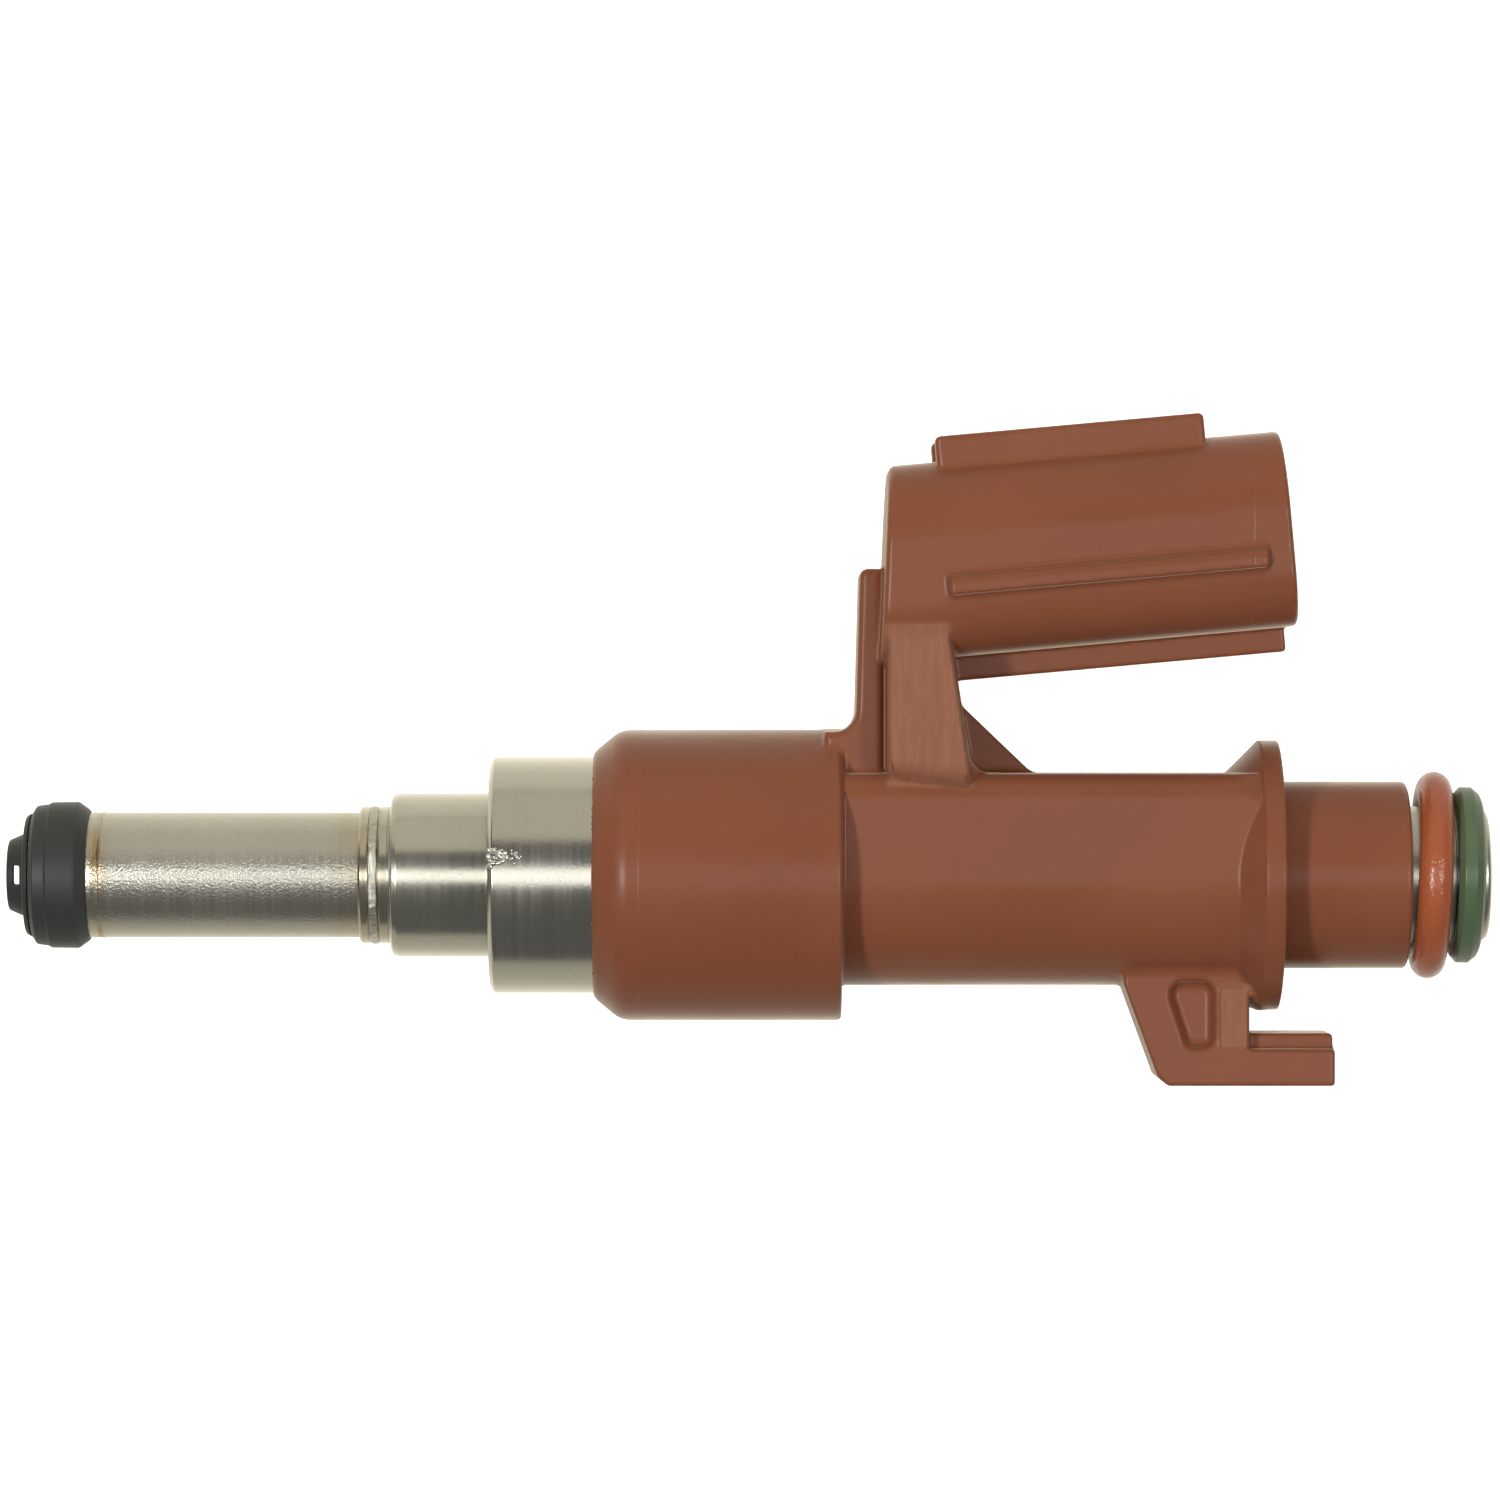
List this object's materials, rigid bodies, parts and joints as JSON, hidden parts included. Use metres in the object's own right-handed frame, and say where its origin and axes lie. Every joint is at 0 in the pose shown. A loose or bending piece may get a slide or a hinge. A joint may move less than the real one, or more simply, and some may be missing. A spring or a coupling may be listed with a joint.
{
  "type": "fuel injector",
  "caption": "Port fuel injector with a long steel nozzle, a moulded body with an angled electrical socket, a clip tab and an O-ring sealed inlet.",
  "frame": {"origin": "on the injector's axis, at the outer face of the spray plate", "axes": "+X along the injector's axis from the nozzle to the fuel inlet, +Y towards the electrical socket, +Z across it, up as the injector lies on its side"},
  "size_m": [0.0781, 0.0353, 0.0154],
  "materials": {
    "brown_plastic": "satin moulded glass-filled nylon, frosted on the arm and tab pads",
    "black_plastic": "satin charcoal moulding",
    "plate_steel": "thin bright sheet",
    "seat_steel": "ground",
    "ball_steel": "polished",
    "needle_steel": "drawn tube",
    "nozzle_steel": "drawn tube, satin, heat-tinted at the welds",
    "body_steel": "turned, bright satin",
    "housing_steel": "turned, bright satin",
    "magnetic_steel": "turned, dull",
    "bobbin_plastic": "moulded",
    "copper_wire": "enamelled winding wire",
    "spring_steel": "drawn wire",
    "tube_steel": "drawn tube, bright",
    "orange_rubber": "smooth, oiled",
    "green_plastic": "satin moulding",
    "filter_plastic": "moulded",
    "filter_mesh": "fine woven screen",
    "tinned_terminal": "tin plated"
  },
  "bodies": {
    "body": {"moulded_body": "brown_plastic", "nozzle_cap": "black_plastic", "spray_plate": "plate_steel", "valve_seat": "seat_steel", "ball_guide": "seat_steel", "valve_holder": "nozzle_steel", "valve_body": "body_steel", "nonmagnetic_ring": "seat_steel", "fixed_core": "magnetic_steel", "solenoid_housing": "housing_steel", "flux_washer": "magnetic_steel", "coil_bobbin": "bobbin_plastic", "coil_winding": "copper_wire", "return_spring": "spring_steel", "adjusting_sleeve": "magnetic_steel", "inlet_tube": "tube_steel", "rail_o_ring": "orange_rubber", "retainer_ring": "green_plastic", "filter_frame": "filter_plastic", "filter_screen": "filter_mesh", "terminal_a": "tinned_terminal", "terminal_b": "tinned_terminal"},
    "needle": {"valve_ball": "ball_steel", "needle_tube": "needle_steel", "armature": "magnetic_steel"}
  },
  "joints": [
    {"name": "needle_lift", "type": "slide", "parent": "body", "child": "needle", "axis": [1, 0, 0], "range_m": [0, 0.0001], "stiffness_N_per_m": 100, "springref_m": -0.0002, "deforming": ["return_spring"]}
  ]
}
